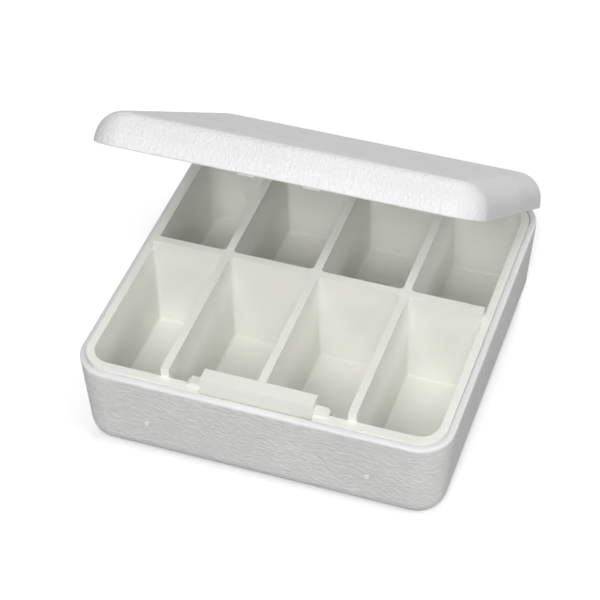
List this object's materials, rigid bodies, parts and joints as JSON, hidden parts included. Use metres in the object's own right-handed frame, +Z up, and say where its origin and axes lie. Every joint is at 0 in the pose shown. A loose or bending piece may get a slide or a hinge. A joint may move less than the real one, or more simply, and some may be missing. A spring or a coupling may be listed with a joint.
{
  "type": "pill box",
  "caption": "Square hinged pill box: grained case and lid, pressed-in tray of compartments, front snap catch.",
  "frame": {"origin": "middle of the flat underside", "axes": "+X right, +Y towards the hinge, +Z up; the lid is modelled part open"},
  "size_m": [0.0804, 0.0837, 0.0725],
  "materials": {
    "grained_plastic": "white, moulded leather grain",
    "tray_plastic": "white, smooth and slightly see-through",
    "steel": "drawn wire"
  },
  "bodies": {
    "base": {"case": "grained_plastic", "compartment_tray": "tray_plastic", "hinge_pin": "steel"},
    "lid": {"lid": "grained_plastic"}
  },
  "joints": [
    {"name": "lid_hinge", "type": "hinge", "parent": "base", "child": "lid", "pos_m": [0, 0.0384, 0.0203], "axis": [-1, 0, 0], "range_deg": [-36.6, 63.4]}
  ]
}
